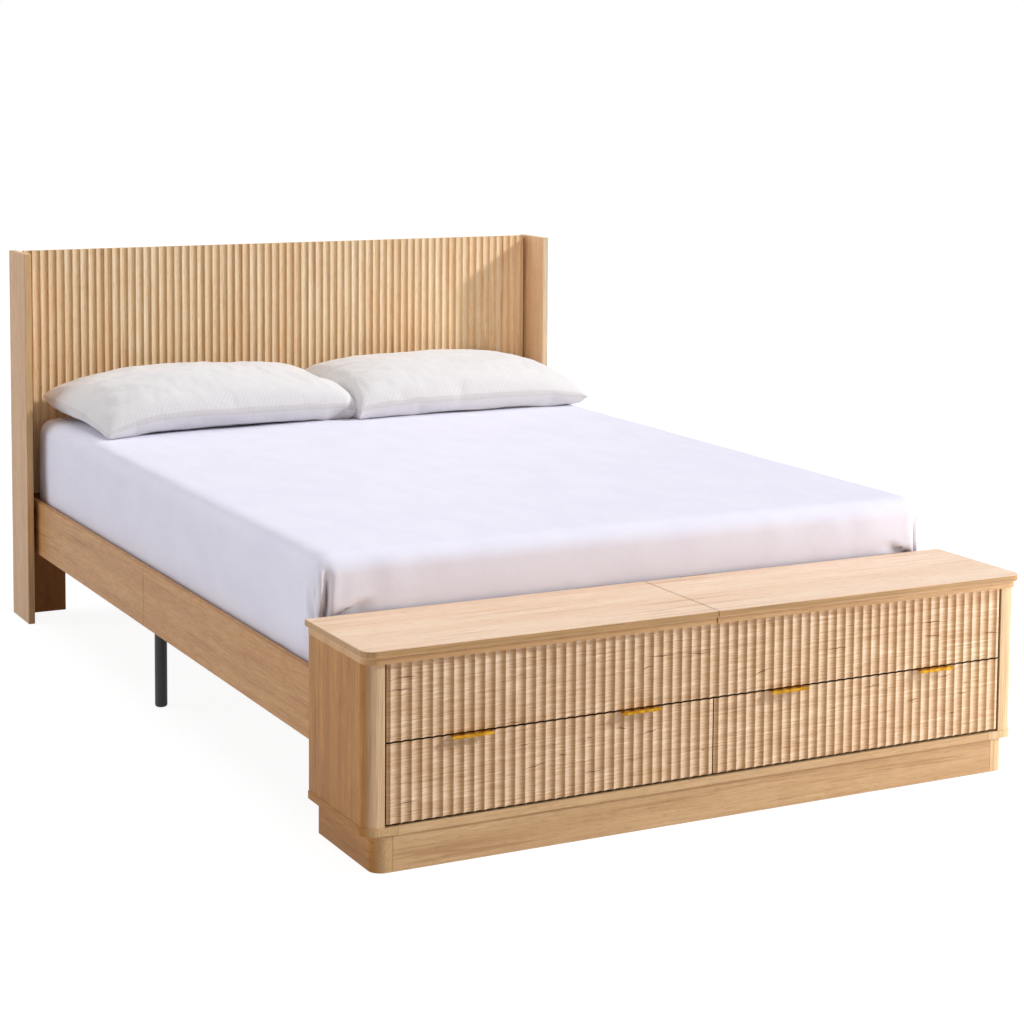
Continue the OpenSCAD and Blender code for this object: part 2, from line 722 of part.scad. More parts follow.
// A pillow: crowned both ways, with its sides drawn in between four soft corners, flattened where it lies
pillow_nu = 16;           // steps across a pillow
pillow_nv = 12;           // steps from its front to its back
pillow_edge = 1.5;        // thickness at its seam
function side_fall(u) = pow(max(1 - pow(abs(u), 2.4), 0), 0.6);
function pillow_point(i, j, top) =
  let (u = -cos(180 * i / pillow_nu), v = -cos(180 * j / pillow_nv),
       x = pillow_w / 2 * u * (1 - 0.07 * (1 - v * v) * abs(u)),
       y = pillow_d / 2 * v * (1 - 0.08 * (1 - u * u) * abs(v)),
       f = side_fall(u) * side_fall(v),
       seam = pillow_t * 0.36,
       z = top ? seam + pillow_t * 0.64 * f : max(seam - pillow_t * 0.95 * f, 0))
    [x, y, z];
module pillow_form() {
  nu = pillow_nu;
  nv = pillow_nv;
  row = nv + 1;
  half = (nu + 1) * row;
  pts = concat(
    [for (i = [0:nu]) for (j = [0:nv]) pillow_point(i, j, true)],
    [for (i = [0:nu]) for (j = [0:nv])
      pillow_point(i, j, false) - [0, 0, (i == 0 || i == nu || j == 0 || j == nv) ? pillow_edge : 0]]);
  faces = concat(
    [for (i = [0:nu - 1]) for (j = [0:nv - 1]) each [
      [i * row + j, i * row + j + 1, (i + 1) * row + j + 1],
      [i * row + j, (i + 1) * row + j + 1, (i + 1) * row + j]]],
    [for (i = [0:nu - 1]) for (j = [0:nv - 1]) each [
      [half + i * row + j, half + (i + 1) * row + j + 1, half + i * row + j + 1],
      [half + i * row + j, half + (i + 1) * row + j, half + (i + 1) * row + j + 1]]],
    [for (i = [0:nu - 1]) for (e = [0, nv]) each
      let (a = i * row + e, b = (i + 1) * row + e) e == 0
        ? [[a, b, half + b], [a, half + b, half + a]] : [[a, half + b, b], [a, half + a, half + b]]],
    [for (j = [0:nv - 1]) for (e = [0, nu]) each
      let (a = e * row + j, b = e * row + j + 1) e == 0
        ? [[a, half + b, b], [a, half + a, half + b]] : [[a, b, half + b], [a, half + b, half + a]]]);
  polyhedron(points = pts, faces = faces, convexity = 4);
}
pillow_y = head_face_y - pillow_back - pillow_d / 2;
module pillow_left() {
  color(cotton) translate([-pillow_w / 2 - pillow_left_in, pillow_y, mattress_top + seat_gap])
    rotate([0, 0, pillow_left_turn]) pillow_form();
}
module pillow_right() {
  color(cotton) translate([pillow_w / 2 + pillow_right_in, pillow_y, mattress_top + seat_gap])
    rotate([0, 0, pillow_right_turn]) pillow_form();
}

headboard_fluted_board();
wing(-1);  // wing_left
wing(1);  // wing_right
headboard_post(-1);  // headboard_post_left
headboard_post(1);  // headboard_post_right
headboard_top_rail();
headboard_lower_rail();
rail_head(-1);  // rail_left_head
rail_foot(-1);  // rail_left_foot
rail_head(1);  // rail_right_head
rail_foot(1);  // rail_right_foot
rail_joint_plates();
slat_ledges();
center_beam_head();
center_beam_foot();
slats();
rail_legs();
center_legs();
leg_glides();
bed_brackets();
bracket_bolts();
bench_side(-1);  // bench_side_left
bench_side(1);  // bench_side_right
bench_back();
bench_bottom();
bin_floor();
drawer_divider();
bin_divider();
upper_fluted_front();
base_moulding(-1);  // base_moulding_left
base_moulding(1);  // base_moulding_right
base_moulding_front();
plinth(-1);  // plinth_left
plinth(1);  // plinth_right
plinth_front();
plinth_back();
runner_battens();
drawer_channels();
lid_hinge_fixed_leaves();
lid_hinge_pins();
lid_board(-1);  // lid_left_board
lid_board(1);  // lid_right_board
lid_edging(-1);  // lid_left_edging
lid_edging(1);  // lid_right_edging
lid_hinge_leaves(-1);  // lid_left_hinge_leaves
lid_hinge_leaves(1);  // lid_right_hinge_leaves
drawer_front(-1);  // drawer_left_front
drawer_front(1);  // drawer_right_front
drawer_box(-1);  // drawer_left_box
drawer_box(1);  // drawer_right_box
drawer_bottom(-1);  // drawer_left_bottom
drawer_bottom(1);  // drawer_right_bottom
drawer_runners(-1);  // drawer_left_runners
drawer_runners(1);  // drawer_right_runners
drawer_handles(-1);  // drawer_left_handles
drawer_handles(1);  // drawer_right_handles
mattress();
pillow_left();
pillow_right();
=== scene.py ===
import math

import bmesh
import bpy
from mathutils import Matrix, Vector, noise


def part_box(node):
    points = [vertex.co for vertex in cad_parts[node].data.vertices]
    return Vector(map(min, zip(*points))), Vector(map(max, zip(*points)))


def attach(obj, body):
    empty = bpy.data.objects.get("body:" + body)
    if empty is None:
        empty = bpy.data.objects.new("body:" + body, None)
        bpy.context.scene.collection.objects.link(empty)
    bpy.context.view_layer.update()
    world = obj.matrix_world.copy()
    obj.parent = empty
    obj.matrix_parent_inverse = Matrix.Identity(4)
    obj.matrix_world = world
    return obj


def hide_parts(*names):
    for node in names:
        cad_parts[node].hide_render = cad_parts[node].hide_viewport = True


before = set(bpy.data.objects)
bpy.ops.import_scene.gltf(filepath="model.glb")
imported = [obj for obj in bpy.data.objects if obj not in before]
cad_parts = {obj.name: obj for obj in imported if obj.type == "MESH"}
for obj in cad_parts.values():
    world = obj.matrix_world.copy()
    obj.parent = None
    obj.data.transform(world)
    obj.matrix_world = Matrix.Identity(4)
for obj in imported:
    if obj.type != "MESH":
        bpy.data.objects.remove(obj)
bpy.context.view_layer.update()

# Camera
# A long lens at standing height, off the bed's left foot corner, as the photograph was taken.
# It looks slightly down, and its shift holds the horizon high in the frame.
CAMERA_PLACE = Vector((-2.51335, -5.07107, 1.5416))
CAMERA_YAW = math.radians(26.906)
CAMERA_PITCH = math.radians(5.137)
CAMERA_ROLL = math.radians(0.343)

camera_data = bpy.data.cameras.new("camera")
camera_data.lens = 80.4
camera_data.sensor_width = 36
camera_data.shift_x = 0.029
camera_data.shift_y = -0.2328
camera = bpy.data.objects.new("camera", camera_data)
bpy.context.scene.collection.objects.link(camera)
turn = Matrix.Rotation(-CAMERA_YAW, 4, "Z") @ Matrix.Rotation(math.pi / 2 - CAMERA_PITCH, 4, "X")
camera.matrix_world = Matrix.Translation(CAMERA_PLACE) @ turn @ Matrix.Rotation(CAMERA_ROLL, 4, "Z")
bpy.context.scene.camera = camera
bpy.context.scene.view_settings.view_transform = "Standard"


# Studio
# A key lamp high on the right, a low soft lamp before the bench, a narrow lamp for the headboard's right
# corner, wide soft light from the left and above, a pale room, and a floor that keeps the bed's shadow.
ROOM_LIGHT = 0.13
ROOM_TINT = (1.0, 0.86, 0.7, 1)
SPOT_SPREAD = math.radians(17)
WHITE = (1, 1, 1, 1)
FLOOR_GREY = (0.8, 0.8, 0.8, 1)
FLOOR_GLOW = 1.22
FLOOR_HALF = 14
FLOOR_DROP = 0.0006


class Finish:
    """A material whose nodes are added one by one. A value that is a socket is linked, any other is set."""

    def __init__(self, name, tree=None):
        self.material = None
        if tree is None:
            self.material = bpy.data.materials.new(name)
            self.material.use_nodes = True
            tree = self.material.node_tree
        self.tree = tree
        self.tree.nodes.clear()

    def add(self, kind, inputs=None, **settings):
        item = self.tree.nodes.new(kind)
        for key, value in settings.items():
            setattr(item, key, value)
        for key, value in (inputs or {}).items():
            if isinstance(value, bpy.types.NodeSocket):
                self.tree.links.new(value, item.inputs[key])
            else:
                item.inputs[key].default_value = value
        return item

    def math(self, operation, a, b=0.0, clamp=False):
        item = self.add("ShaderNodeMath", {0: a, 1: b}, operation=operation, use_clamp=clamp)
        return item.outputs[0]

    def scaled(self, value, factor, start):
        item = self.add("ShaderNodeMath", {0: value, 1: factor, 2: start}, operation="MULTIPLY_ADD")
        return item.outputs[0]

    def mix(self, amount, a, b, blend="MIX"):
        inputs = {0: amount, 6: a, 7: b}
        item = self.add("ShaderNodeMix", inputs, data_type="RGBA", blend_type=blend, clamp_factor=True)
        return item.outputs[2]

    def range(self, value, low, high, to_low=0.0, to_high=1.0):
        inputs = {"Value": value, "From Min": low, "From Max": high, "To Min": to_low, "To Max": to_high}
        return self.add("ShaderNodeMapRange", inputs, interpolation_type="SMOOTHSTEP").outputs[0]

    def place(self, scale=(1, 1, 1), move=(0, 0, 0), rotation=(0, 0, 0)):
        coordinates = self.add("ShaderNodeTexCoord")
        mapping = self.add("ShaderNodeMapping", {"Vector": coordinates.outputs["Object"]})
        mapping.inputs["Scale"].default_value = scale
        mapping.inputs["Location"].default_value = move
        mapping.inputs["Rotation"].default_value = rotation
        return mapping.outputs[0]

    def noise(self, vector, scale, detail=2.0, roughness=0.5, distortion=0.0):
        inputs = {"Vector": vector, "Scale": scale, "Detail": detail, "Roughness": roughness}
        inputs["Distortion"] = distortion
        return self.add("ShaderNodeTexNoise", inputs).outputs["Fac"]

    def bump(self, height, distance, strength=1.0):
        inputs = {"Height": height, "Distance": distance, "Strength": strength}
        return self.add("ShaderNodeBump", inputs).outputs[0]

    def surface(self, **sockets):
        inputs = {key.replace("_", " "): value for key, value in sockets.items()}
        shader = self.add("ShaderNodeBsdfPrincipled", inputs)
        self.add("ShaderNodeOutputMaterial", {"Surface": shader.outputs[0]})
        return self.material


def hang(name, kind, place, energy, size, target=(0, 0, 0), tint=(1, 1, 1)):
    """Hangs a lamp of this size in the studio, turned to its target."""
    data = bpy.data.lights.new(name, kind)
    data.energy = energy
    data.color = tint
    if kind == "SUN":
        data.angle = size
    elif kind == "AREA":
        data.shape = "DISK"
        data.size = size
    else:
        data.shadow_soft_size = size
        data.spot_size = SPOT_SPREAD
        data.spot_blend = 1.0
    lamp = bpy.data.objects.new(name, data)
    lamp.location = place
    lamp.rotation_mode = "QUATERNION"
    lamp.rotation_quaternion = (Vector(place) - Vector(target)).to_track_quat("Z", "Y")
    lamp.visible_camera = False
    bpy.context.scene.collection.objects.link(lamp)


hang("key", "SUN", (7.83, -3.77, 4.96), 2.28, math.radians(6))
hang("front_softbox", "AREA", (1.6, -2.0, 0.35), 10, 0.7, target=(0.4, -1.2, 0.3), tint=(1.0, 0.97, 0.93))
hang("corner_spot", "SPOT", (-1.8, -2.5, 1.3), 125, 0.3, target=(0.75, 1.0, 0.75), tint=(1.0, 0.9, 0.78))
hang("left_fill", "SUN", (-8.5, 3.0, 2.0), 1.3, math.radians(50), tint=(0.94, 0.96, 1.0))
hang("top_light", "SUN", (0.5, 0.5, 6.0), 1.3, math.radians(60), tint=(0.95, 0.96, 1.0))

world = bpy.data.worlds.new("room")
world.use_nodes = True
bpy.context.scene.world = world
room = Finish("room", world.node_tree)
rays = room.add("ShaderNodeLightPath")
seen = room.math("ADD", rays.outputs["Is Camera Ray"], rays.outputs["Is Glossy Ray"])
seen = room.math("ADD", seen, rays.outputs["Is Transmission Ray"], clamp=True)
strength = room.scaled(seen, 1 - ROOM_LIGHT, ROOM_LIGHT)
wall = room.mix(seen, ROOM_TINT, WHITE)
background = room.add("ShaderNodeBackground", {"Color": wall, "Strength": strength})
room.add("ShaderNodeOutputWorld", {"Surface": background.outputs[0]})

paper = Finish("floor_paper")
rays = paper.add("ShaderNodeLightPath")
seen = paper.math("ADD", rays.outputs["Is Camera Ray"], rays.outputs["Is Glossy Ray"], clamp=True)
plain = paper.add("ShaderNodeBsdfDiffuse", {"Color": FLOOR_GREY})
glow = paper.add("ShaderNodeEmission", {"Color": WHITE, "Strength": FLOOR_GLOW})
veil = paper.add("ShaderNodeMixShader", {0: 0.75, 1: plain.outputs[0], 2: glow.outputs[0]})
either = paper.add("ShaderNodeMixShader", {0: seen, 1: plain.outputs[0], 2: veil.outputs[0]})
paper.add("ShaderNodeOutputMaterial", {"Surface": either.outputs[0]})

floor_mesh = bpy.data.meshes.new("floor")
bm = bmesh.new()
bmesh.ops.create_grid(bm, x_segments=1, y_segments=1, size=FLOOR_HALF)
bmesh.ops.translate(bm, verts=bm.verts, vec=(0, 0, -FLOOR_DROP))
bm.to_mesh(floor_mesh)
bm.free()
floor = bpy.data.objects.new("floor", floor_mesh)
floor_mesh.materials.append(paper.material)
bpy.context.scene.collection.objects.link(floor)


# Oak-faced boards
# Boards wrapped in a printed light oak foil under a satin lacquer, with the grain along each board.
# The foil has fibres, broad bands, mottles, short dark pores, and on the fronts thin slanting splits.
SPLIT_CELL = (0.085, 0.03)
SPLIT_WAVER = 0.006
SPLIT_SLANT = 0.34
SPLIT_SHORTEST = 0.006
SPLIT_SPREAD = 0.034
SPLIT_LINE = (0.0004, 0.0021)
# The tint of the painted shade on the flute walls that face left, away from the key lamp.
FLUTE_SHADE_TINT = (0.86, 0.71, 0.5, 1)
BED_SIDE = 0.8


def colour(red, green, blue):
    """A colour given as a paint chart gives it, from 0 to 255, as the linear values that a shader takes."""
    parts = [value / 255 for value in (red, green, blue)]
    return tuple(v / 12.92 if v <= 0.04045 else ((v + 0.055) / 1.055) ** 2.4 for v in parts) + (1.0,)


def slanting_splits(wood, along, across, move, amount, face):
    """Draws thin tapered splits over a finish, one in some of the cells of a wide brick-like pattern."""
    long_cell, tall_cell = SPLIT_CELL
    axes = wood.add("ShaderNodeSeparateXYZ", {"Vector": wood.place((1, 1, 1), move)})
    wave = wood.noise(wood.place((1, 0.05, 1), move), 30, detail=3, roughness=0.6)
    height = wood.math("ADD", axes.outputs[across], wood.math("MULTIPLY", wave, SPLIT_WAVER))
    column = wood.math("DIVIDE", axes.outputs[along], long_cell)
    row = wood.math("DIVIDE", height, tall_cell)
    flat = wood.add("ShaderNodeCombineXYZ", {"X": column, "Y": row}).outputs[0]
    cell = wood.add("ShaderNodeTexVoronoi", {"Vector": flat, "Scale": 1.0}, voronoi_dimensions="2D")
    away = wood.add("ShaderNodeVectorMath", {0: flat, 1: cell.outputs["Position"]}, operation="SUBTRACT")
    away = wood.add("ShaderNodeSeparateXYZ", {"Vector": away.outputs[0]})
    luck = wood.add("ShaderNodeSeparateColor", {"Color": cell.outputs["Color"]})
    run = wood.math("MULTIPLY", away.outputs["X"], long_cell)
    slant = wood.math("MULTIPLY", wood.math("SUBTRACT", luck.outputs["Red"], 0.25), SPLIT_SLANT)
    rise = wood.math("MULTIPLY", away.outputs["Y"], tall_cell)
    off = wood.math("ABSOLUTE", wood.math("SUBTRACT", rise, wood.math("MULTIPLY", run, slant)))
    reach = wood.scaled(luck.outputs["Green"], SPLIT_SPREAD, SPLIT_SHORTEST)
    taper = wood.math("SUBTRACT", 1.0, wood.math("DIVIDE", wood.math("ABSOLUTE", run), reach), clamp=True)
    line = wood.range(wood.math("DIVIDE", off, wood.math("ADD", taper, 0.02)), *SPLIT_LINE, 1, 0)
    some = wood.math("GREATER_THAN", luck.outputs["Blue"], 1 - amount)
    ends = wood.math("MULTIPLY", taper, 2.2, clamp=True)
    shade = wood.math("MULTIPLY", wood.math("MULTIPLY", line, some), ends)
    return wood.mix(wood.math("MULTIPLY", shade, 0.8), face, colour(118, 64, 38))


def oak_foil(name, along, flat, light, dark, move=(0, 0, 0), bands=0.5, fibres=0.5, streaks=0.3, mottle=0.2,
             splits=0.0, edge=None, ribbed=False, gloss=0.42, left_shade=None):
    """A foil with its grain along one axis, on a board that is thin along the flat one, in two tones.
    Edge tones the narrow faces; ribbed paints shade on each flute's left-facing wall, and the left shade
    darkens the bed's left side, both painted shade."""
    wood = Finish(name)
    axis, thin = "XYZ".index(along), "XYZ".index(flat)

    def stretched(share):
        scale = [1.0, 1.0, 1.0]
        scale[axis] = share
        if ribbed:
            scale[thin] = 0.06
        return wood.place(scale, move)

    deep = (dark[0] * 0.78, dark[1] * 0.64, dark[2] * 0.54)
    band = wood.range(wood.noise(stretched(0.05), 22, detail=3, roughness=0.6, distortion=0.3), 0.3, 0.72)
    cloud = wood.range(wood.noise(stretched(0.4), 38, detail=3, roughness=0.6), 0.35, 0.72)
    dash = wood.range(wood.noise(stretched(0.07), 330, detail=3, roughness=0.65), 0.3, 0.7)
    thread = wood.range(wood.noise(stretched(0.02), 300, detail=4, roughness=0.65), 0.34, 0.66)
    line = wood.range(wood.noise(stretched(0.03), 75, detail=3, roughness=0.55, distortion=0.25), 0.57, 0.68)
    pores = wood.range(wood.noise(stretched(0.05), 640, detail=3, roughness=0.65), 0.56, 0.68)

    face = wood.mix(wood.math("MULTIPLY", band, bands), colour(*light), colour(*dark))
    face = wood.mix(wood.math("MULTIPLY", cloud, mottle), face, colour(*dark))
    face = wood.mix(wood.math("MULTIPLY", dash, fibres * 0.55), face, colour(*dark))
    face = wood.mix(wood.math("MULTIPLY", thread, fibres * 0.6), face, colour(*dark))
    face = wood.mix(wood.math("MULTIPLY", line, streaks), face, colour(*deep))
    face = wood.mix(wood.math("MULTIPLY", pores, 0.42), face, colour(*deep))
    if splits:
        face = slanting_splits(wood, axis, 3 - axis - thin, move, splits, face)
    # Painted shade: the finish darkens towards the bed's left, where the light falls off.
    if left_shade:
        across = wood.add("ShaderNodeSeparateXYZ", {"Vector": wood.place()}).outputs["X"]
        rightness = wood.range(across, -BED_SIDE, BED_SIDE)
        shaded_left = wood.mix(1.0, face, (left_shade, left_shade * 0.985, left_shade * 0.95, 1), "MULTIPLY")
        face = wood.mix(rightness, shaded_left, face)
    side = wood.add("ShaderNodeSeparateXYZ", {"Vector": wood.add("ShaderNodeTexCoord").outputs["Normal"]})
    # Painted shade: the walls of each flute that face left, away from the key lamp, are darkened and warmed.
    if ribbed:
        flute_shade = wood.mix(1.0, face, FLUTE_SHADE_TINT, "MULTIPLY")
        face = wood.mix(wood.range(side.outputs["X"], -0.42, 0.2), flute_shade, face)
    if edge:
        facing = wood.range(wood.math("ABSOLUTE", side.outputs[thin]), 0.3, 0.95)
        edge_fibre = colour(*(part * 0.8 for part in edge))
        edge_tone = wood.mix(wood.math("MULTIPLY", thread, 0.7), colour(*edge), edge_fibre)
        face = wood.mix(facing, edge_tone, face)
    rough = wood.range(dash, 0.0, 1.0, gloss - 0.04, gloss + 0.07)
    relief = wood.math("SUBTRACT", thread, wood.math("MULTIPLY", pores, 0.5))
    return wood.surface(Base_Color=face, Roughness=rough, Specular_IOR_Level=0.2,
                        Normal=wood.bump(relief, 0.0002, 0.6))


def dress(material, *names):
    """Puts a material on CAD nodes."""
    for name in names:
        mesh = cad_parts[name].data
        mesh.materials.clear()
        mesh.materials.append(material)


# Headboard
# A fluted board between two deep wings, on two posts with cross rails behind.
# The grain of all of them runs upright, but for the cross rails.
dress(oak_foil("oak_headboard", "Z", "Y", (255, 243, 216), (232, 182, 130), bands=0.4, streaks=0.35,
               ribbed=True, left_shade=0.92),
      "headboard_fluted_board")
# Painted shade: the left wing's foil is a darker copy of the right wing's, for the light falling off towards
# the left.
dress(oak_foil("oak_wing_left_shaded", "Z", "X", (222, 184, 144), (182, 140, 100), (3.1, 0.7, 0), bands=0.3,
               streaks=0.15, edge=(236, 194, 142)),
      "wing_left")
dress(oak_foil("oak_wing_right", "Z", "X", (255, 226, 190), (216, 170, 120), (1.1, 2.7, 0), fibres=0.6,
               edge=(246, 220, 186)),
      "wing_right")
# Painted shade: the posts' dark, warm tone stands in for the shade that falls on them behind the board and
# the rails.
dress(oak_foil("oak_posts_shaded", "Z", "Y", (182, 124, 66), (128, 80, 40), (0.1, 4.7, 0)),
      "headboard_post_left", "headboard_post_right")
dress(oak_foil("oak_cross_rails", "X", "Y", (226, 192, 152), (188, 148, 106), (0.4, 2.3, 0)),
      "headboard_top_rail", "headboard_lower_rail")

# Side rails
# Two foil-faced boards a side, with the grain lengthwise. They meet at a seam near the middle with
# a steel plate behind it, and steel brackets bolt their ends to the posts and the bench.
dress(oak_foil("oak_rails", "Y", "X", (214, 166, 112), (172, 118, 68), (1.7, 0.2, 0.4)),
      "rail_left_head", "rail_left_foot", "rail_right_head", "rail_right_foot")

# Bench
# A box of foil-faced boards with two lids over its bins and two drawers below. The grain is upright on
# the sides, and runs from side to side on the lids, the front mouldings and the fluted fronts, which
# are of a more rustic foil with splits. The fronts' narrow edges are dark brown: painted shade in the gaps.
# Painted shade: the left side takes a darker amber copy of the foil, for the side turned away from the key
# lamp.
dress(oak_foil("oak_left_side_shaded", "Z", "X", (208, 152, 84), (146, 94, 44), (5.2, 1.1, 0), bands=0.65,
               fibres=0.6, edge=(232, 196, 156)),
      "bench_side_left")
dress(oak_foil("oak_right_side", "Z", "X", (246, 212, 166), (206, 162, 114), (1.3, 2.2, 0), bands=0.4,
               edge=(240, 204, 160)),
      "bench_side_right", "base_moulding_right", "plinth_right")
dress(oak_foil("oak_lids", "X", "Z", (255, 233, 211), (234, 194, 158), (0.3, 4.2, 0), fibres=0.4,
               streaks=0.28, edge=(200, 158, 110), left_shade=0.93),
      "lid_left_board", "lid_right_board")
dress(oak_foil("oak_edging", "X", "Z", (222, 182, 136), (184, 138, 92), (0.3, 4.2, 0), fibres=0.4,
               streaks=0.2),
      "lid_left_edging", "lid_right_edging")
# The dark edge tone on the fronts is painted shade for the gaps between the fronts.
dress(oak_foil("oak_fluted_fronts", "X", "Y", (255, 234, 209), (198, 150, 106), (0.9, 0, 3.3), bands=0.16,
               fibres=0.7, streaks=0.15, mottle=0.22, splits=0.12, edge=(56, 38, 24), ribbed=True,
               left_shade=0.88),
      "upper_fluted_front", "drawer_left_front", "drawer_right_front")
dress(oak_foil("oak_base", "X", "Y", (228, 194, 150), (186, 144, 102), (2.2, 0, 1.3)),
      "base_moulding_front", "plinth_front", "plinth_back", "bench_back")
# Painted shade: the left corner pieces take the same darker amber copy of the base foil, lighter on their
# front faces.
dress(oak_foil("oak_base_left_shaded", "Y", "X", (196, 138, 68), (142, 90, 38), (2.2, 1.4, 1.3),
               edge=(218, 178, 130)),
      "base_moulding_left", "plinth_left")
dress(oak_foil("oak_inner_boards", "X", "Z", (224, 190, 150), (200, 162, 120), (0.2, 0, 6.3), streaks=0.15),
      "bench_bottom", "bin_floor", "drawer_divider", "bin_divider", "drawer_left_box", "drawer_right_box",
      "drawer_left_bottom", "drawer_right_bottom")

# Slats, ledges and centre beam
# Planed pine, unfinished, each piece with its grain lengthwise. The slats lie on the ledges and
# the beam, and the battens that carry the drawers' slides are of the same pine.
dress(oak_foil("pine_across", "X", "Z", (232, 206, 160), (208, 170, 116), (0, 0.8, 9), gloss=0.6), "slats")
dress(oak_foil("pine_along", "Y", "X", (232, 206, 160), (208, 170, 116), (0.6, 0, 9), gloss=0.6),
      "slat_ledges", "center_beam_head", "center_beam_foot", "runner_battens")

# Steel, brass and plastic
# Powder-coated steel legs, brackets and joint plates, moulded glides, zinc-plated bolts and slides,
# bronzed hinges, and brass pulls, brushed lengthwise and folded over the drawer fronts' top edges.
coat = Finish("black_powder_coat")
grain = coat.noise(coat.place(), 1800, detail=2)
dress(coat.surface(Base_Color=(0.012, 0.012, 0.013, 1), Roughness=coat.range(grain, 0.3, 0.7, 0.42, 0.55),
                   Normal=coat.bump(grain, 0.0001, 0.5)),
      "rail_legs", "center_legs", "bed_brackets", "rail_joint_plates")

glide = Finish("black_plastic")
grain = glide.noise(glide.place(), 900, detail=2)
dress(glide.surface(Base_Color=(0.02, 0.02, 0.021, 1), Roughness=glide.range(grain, 0.3, 0.7, 0.5, 0.62)),
      "leg_glides")

plated = Finish("zinc_plate")
spangle = plated.noise(plated.place(), 260, detail=3)
tone = plated.mix(spangle, (0.58, 0.59, 0.6, 1), (0.72, 0.72, 0.73, 1))
dress(plated.surface(Base_Color=tone, Metallic=1.0, Roughness=plated.range(spangle, 0.3, 0.7, 0.26, 0.4)),
      "bracket_bolts", "drawer_channels", "drawer_left_runners", "drawer_right_runners")

hinge = Finish("bronzed_steel")
wear = hinge.noise(hinge.place(), 190, detail=3)
tone = hinge.mix(wear, colour(150, 118, 84), colour(196, 160, 120))
dress(hinge.surface(Base_Color=tone, Metallic=1.0, Roughness=hinge.range(wear, 0.3, 0.7, 0.38, 0.5)),
      "lid_hinge_fixed_leaves", "lid_left_hinge_leaves", "lid_right_hinge_leaves", "lid_hinge_pins")

pull = Finish("brushed_brass")
brush = pull.noise(pull.place((0.03, 1, 1)), 2600, detail=3)
cloud = pull.noise(pull.place(), 60, detail=2)
tone = pull.mix(pull.range(cloud, 0.35, 0.65), colour(168, 118, 24), colour(206, 156, 48))
dress(pull.surface(Base_Color=tone, Metallic=1.0, Roughness=pull.range(brush, 0.3, 0.7, 0.24, 0.4),
                   Normal=pull.bump(brush, 0.00006, 0.5)),
      "drawer_left_handles", "drawer_right_handles")


# Mattress in its fitted sheet
# A foam mattress under a white cotton sheet, pulled over its rolled edges and tucked under.
# The sheet has faint ripples on top and slack folds at the foot corners, with painted shade in their creases.
MATTRESS_CELL = 0.021
MATTRESS_CORNER = 0.045
TOP_ROLL = 0.04
BOTTOM_ROLL = 0.02
WALL_RINGS = 20
EDGE_CROWDING = 1.5
FOLD_ROOM = 0.003
SHEET_CROWN = 0.006
SHEET_SAG = 0.003
CORNER_SLACK = 0.007
CORNER_REACH = 0.42
PINCH_PLACE = 0.014
FLAP_DROP = 0.09
FLAP_LENGTH = 0.1
BUNCH_DEPTH = 0.006
TOP_ROOM = 0.001
mattress_low, mattress_high = (Vector(corner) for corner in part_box("mattress"))
mattress_half = (mattress_high - mattress_low) / 2
mattress_middle = (mattress_high + mattress_low) / 2
half_x = mattress_half.x - FOLD_ROOM
half_y = mattress_half.y - FOLD_ROOM
thick = 2 * mattress_half.z - TOP_ROOM


def mattress_point(x, y, level):
    """Bends a point of a flat-sided block to the mattress. Level is 0 at the bottom and 1 at the top."""
    core_x, core_y = half_x - MATTRESS_CORNER, half_y - MATTRESS_CORNER
    away_x, away_y = abs(x) - core_x, abs(y) - core_y
    side_x, side_y = math.copysign(1, x), math.copysign(1, y)
    if away_x > 0 and away_y > 0:
        reach = max(away_x, away_y)
        out = Vector((away_x, away_y)).normalized()
        base = Vector((core_x, core_y))
        inset = MATTRESS_CORNER - reach
    elif half_x - abs(x) < half_y - abs(y):
        out, base = Vector((1, 0)), Vector((core_x, abs(y)))
        inset = half_x - abs(x)
    else:
        out, base = Vector((0, 1)), Vector((abs(x), core_y))
        inset = half_y - abs(y)
    roll = TOP_ROLL if level > 0.5 else BOTTOM_ROLL
    z = BOTTOM_ROLL + level * (thick - TOP_ROLL - BOTTOM_ROLL)
    if level in (0, 1):
        bend = math.pi / 2 * max(1 - inset / roll, 0)
        rise = roll * math.cos(bend)
        z += rise if level else -rise
        if inset < roll:
            inset = roll * (1 - math.sin(bend))
    spot = base + out * (MATTRESS_CORNER - inset)
    return Vector((spot.x * side_x, spot.y * side_y, z)), Vector((out.x * side_x, out.y * side_y, 0)), inset


def number_in_order(bm):
    """Numbers a mesh's points by their place, and its edges and faces by their points. The operators leave
    them in an order that changes from run to run, and a simulated cloth would settle a little differently."""
    bm.verts.sort(key=lambda vert: vert.co.z * 1e6 + vert.co.y * 1e3 + vert.co.x)
    bm.verts.index_update()
    for parts in (bm.edges, bm.faces):
        parts.sort(key=lambda part: min(v.index for v in part.verts) * 1e6 + max(v.index for v in part.verts))


def bell(value, width):
    return math.exp(-(value / width) ** 2)


def ramp(value, start, end):
    return min(max((value - start) / (end - start), 0.0), 1.0)


